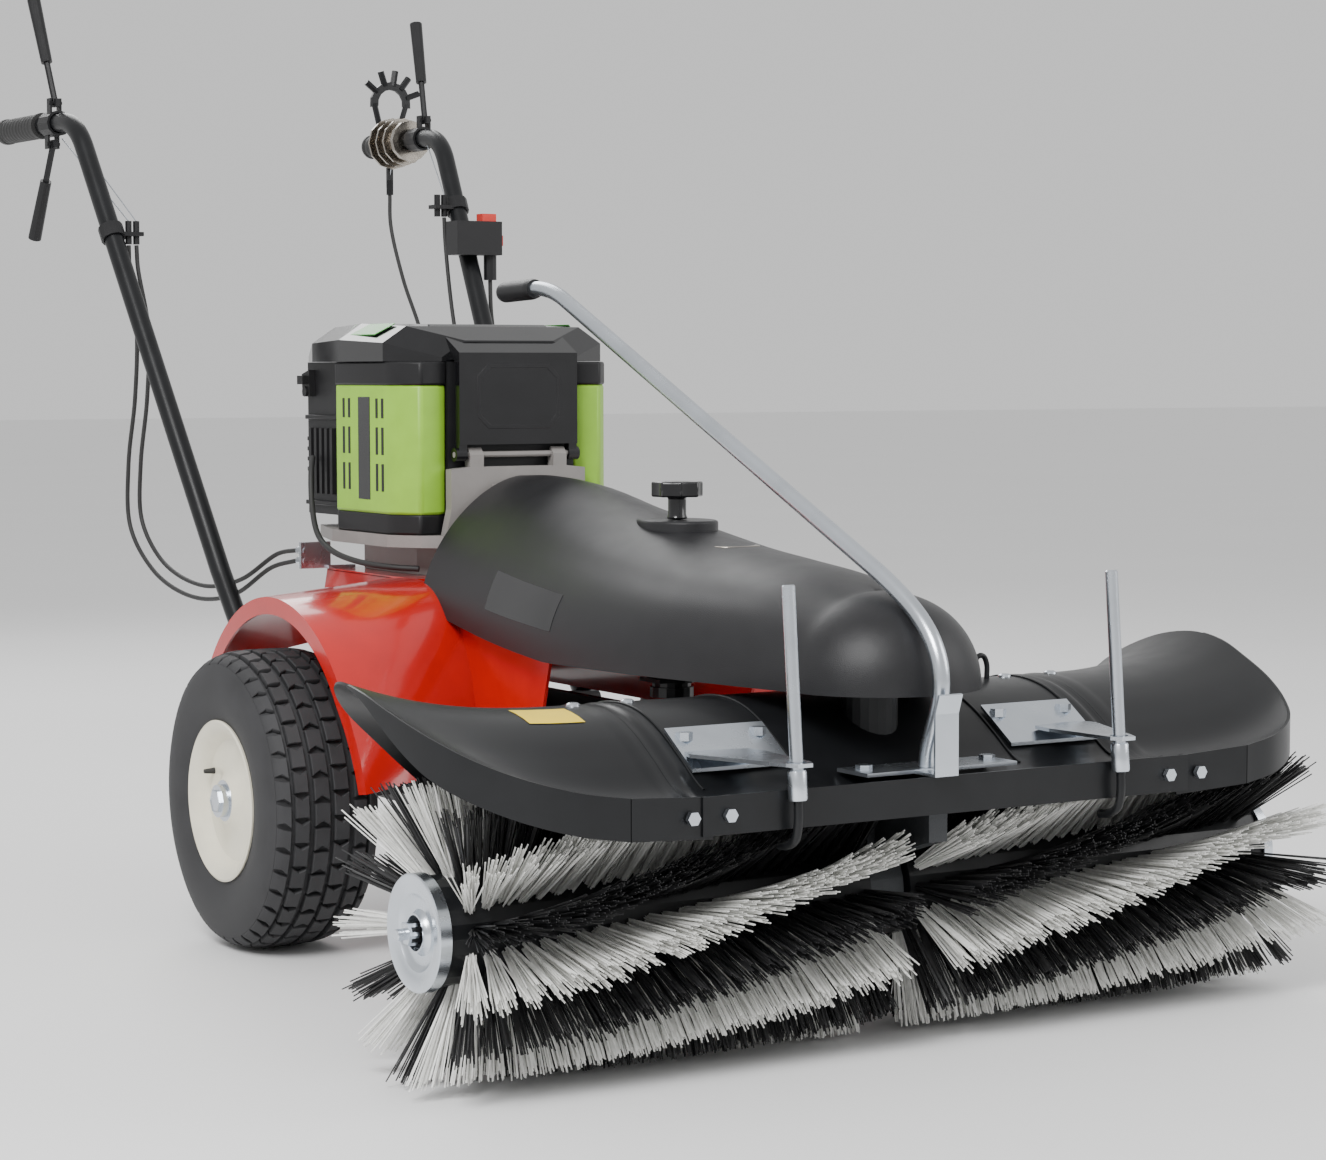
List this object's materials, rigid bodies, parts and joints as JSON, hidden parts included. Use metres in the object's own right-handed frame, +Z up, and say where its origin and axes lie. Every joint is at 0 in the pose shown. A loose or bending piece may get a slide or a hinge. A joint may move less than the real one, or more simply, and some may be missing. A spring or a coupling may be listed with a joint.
{
  "type": "walk behind sweeper",
  "caption": "Battery power sweeper walked behind by its long handles, with a wide rotary brush under a swivelling guard in front.",
  "frame": {"origin": "on the floor, under the middle of the machine's box", "axes": "+Y from the brush to the handles, +X to the side of the switch box and selector, +Z up"},
  "size_m": [1.186, 2.08, 1.2932],
  "materials": {
    "tyre_rubber": "matt",
    "cream_rim": "gloss",
    "castings": "satin",
    "black_paint": "satin",
    "red_paint": "gloss",
    "hood_plastic": "fine texture",
    "gloss_black": "gloss",
    "black_plastic": "satin",
    "grey_plastic": "satin",
    "green_plastic": "satin",
    "red_plastic": "satin",
    "black_rubber": "matt",
    "zinc": "zinc plated",
    "pulley_steel": "turned",
    "nickel": "satin nickel",
    "bristle": "matt"
  },
  "bodies": {
    "root": {"transaxle": "castings", "chassis_frame": "black_paint", "body_shell": "red_paint", "boom": "black_paint", "hood": "hood_plastic", "belt": "black_rubber", "motor_base": "grey_plastic", "motor_housing": "black_plastic", "battery_left": "green_plastic", "battery_right": "green_plastic", "handle_tube_left": "black_paint", "handle_tube_right": "black_paint", "grip_left": "black_rubber", "grip_right": "black_rubber", "lever_clamp_left": "black_plastic", "lever_clamp_right": "black_plastic", "cable_bracket_left": "black_plastic", "cable_bracket_right": "black_plastic", "selector_gate": "black_paint", "switch_box": "black_plastic", "rear_cable_bracket": "zinc", "cable_left_a": "black_rubber", "cable_left_b": "black_rubber", "drive_cable": "black_rubber", "selector_cable": "black_rubber", "switch_lead": "black_rubber", "motor_lead": "black_rubber"},
    "wheel_left": {"tyre_left": "tyre_rubber", "rim_left": "cream_rim"},
    "wheel_right": {"tyre_right": "tyre_rubber", "rim_right": "cream_rim"},
    "brush_head": {"gearbox": "castings", "guard_centre": "black_paint", "guard_wing_left": "black_paint", "guard_wing_right": "black_paint", "lip_strip": "black_paint", "pin_bracket_left": "zinc", "pin_bracket_right": "zinc", "pin_left": "zinc", "pin_right": "zinc", "lever_plate": "zinc", "lever_rod": "zinc", "lever_grip": "black_plastic"},
    "brush": {"brush_core": "black_paint", "bristles_left": "bristle", "bristles_right": "bristle", "end_disc_left": "zinc", "end_disc_right": "zinc"},
    "head_pulley": {"head_pulley": "pulley_steel"},
    "motor_pulley": {"motor_pulley": "pulley_steel"},
    "hood_knob": {"hood_knob": "gloss_black"},
    "lid": {"lid": "gloss_black"},
    "lid_latch": {"lid_latch": "black_plastic"},
    "upper_lever_left": {"upper_lever_left": "black_plastic"},
    "upper_lever_right": {"upper_lever_right": "black_plastic"},
    "lower_lever_left": {"lower_lever_left": "black_plastic"},
    "selector_drum": {"selector_drum": "nickel"},
    "top_button": {"top_button": "red_plastic"},
    "side_button": {"side_button": "red_plastic"}
  },
  "joints": [
    {"name": "wheel_left_spin", "type": "hinge", "parent": "root", "child": "wheel_left", "pos_m": [-0.354, -0.03795, 0.189], "axis": [1, 0, 0], "continuous": true},
    {"name": "wheel_right_spin", "type": "hinge", "parent": "root", "child": "wheel_right", "pos_m": [0.354, -0.03795, 0.189], "axis": [1, 0, 0], "continuous": true},
    {"name": "head_swivel", "type": "hinge", "parent": "root", "child": "brush_head", "pos_m": [0, -0.85295, 0.3], "axis": [0, 0, 1], "range_deg": [-15, 15]},
    {"name": "brush_spin", "type": "hinge", "parent": "brush_head", "child": "brush", "pos_m": [0, -0.83795, 0.162], "axis": [1, 0, 0], "continuous": true},
    {"name": "head_pulley_spin", "type": "hinge", "parent": "root", "child": "head_pulley", "pos_m": [0, -0.85295, 0.44], "axis": [0, 0, 1], "continuous": true},
    {"name": "motor_pulley_spin", "type": "hinge", "parent": "root", "child": "motor_pulley", "pos_m": [0, 0.10205, 0.44], "axis": [0, 0, 1], "continuous": true},
    {"name": "hood_knob_turn", "type": "hinge", "parent": "root", "child": "hood_knob", "pos_m": [0, -0.44995, 0.58], "axis": [0, 0, 1], "continuous": true},
    {"name": "lid_hinge", "type": "hinge", "parent": "root", "child": "lid", "pos_m": [0, -0.04295, 0.619], "axis": [1, 0, 0], "range_deg": [0, 20]},
    {"name": "lid_latch_turn", "type": "hinge", "parent": "root", "child": "lid_latch", "pos_m": [-0.1443, 0.28305, 0.7], "axis": [1, 0, 0], "range_deg": [0, 30], "stiffness_Nm_per_rad": 0.5},
    {"name": "upper_lever_left_squeeze", "type": "hinge", "parent": "root", "child": "upper_lever_left", "pos_m": [-0.31002, 0.83305, 1.131], "axis": [-1, 0, 0], "range_deg": [0, 18], "stiffness_Nm_per_rad": 4},
    {"name": "upper_lever_right_squeeze", "type": "hinge", "parent": "root", "child": "upper_lever_right", "pos_m": [0.31002, 0.83305, 1.131], "axis": [-1, 0, 0], "range_deg": [0, 18], "stiffness_Nm_per_rad": 4},
    {"name": "lower_lever_left_squeeze", "type": "hinge", "parent": "root", "child": "lower_lever_left", "pos_m": [-0.30691, 0.85305, 1.071], "axis": [1, 0, 0], "range_deg": [0, 18], "stiffness_Nm_per_rad": 4},
    {"name": "selector_turn", "type": "hinge", "parent": "root", "child": "selector_drum", "pos_m": [0.30976, 0.91705, 1.101], "axis": [0.0444, 0.999, 0], "range_deg": [-30, 30]},
    {"name": "top_button_press", "type": "slide", "parent": "root", "child": "top_button", "axis": [0, 0, -1], "range_m": [0, 0.003], "stiffness_N_per_m": 300},
    {"name": "side_button_press", "type": "slide", "parent": "root", "child": "side_button", "axis": [-1, 0, 0], "range_m": [0, 0.003], "stiffness_N_per_m": 300}
  ],
  "couplings": [
    {"joint": "head_pulley_spin", "follows": "brush_spin", "ratio": 6},
    {"joint": "motor_pulley_spin", "follows": "brush_spin", "ratio": 9.6667}
  ]
}
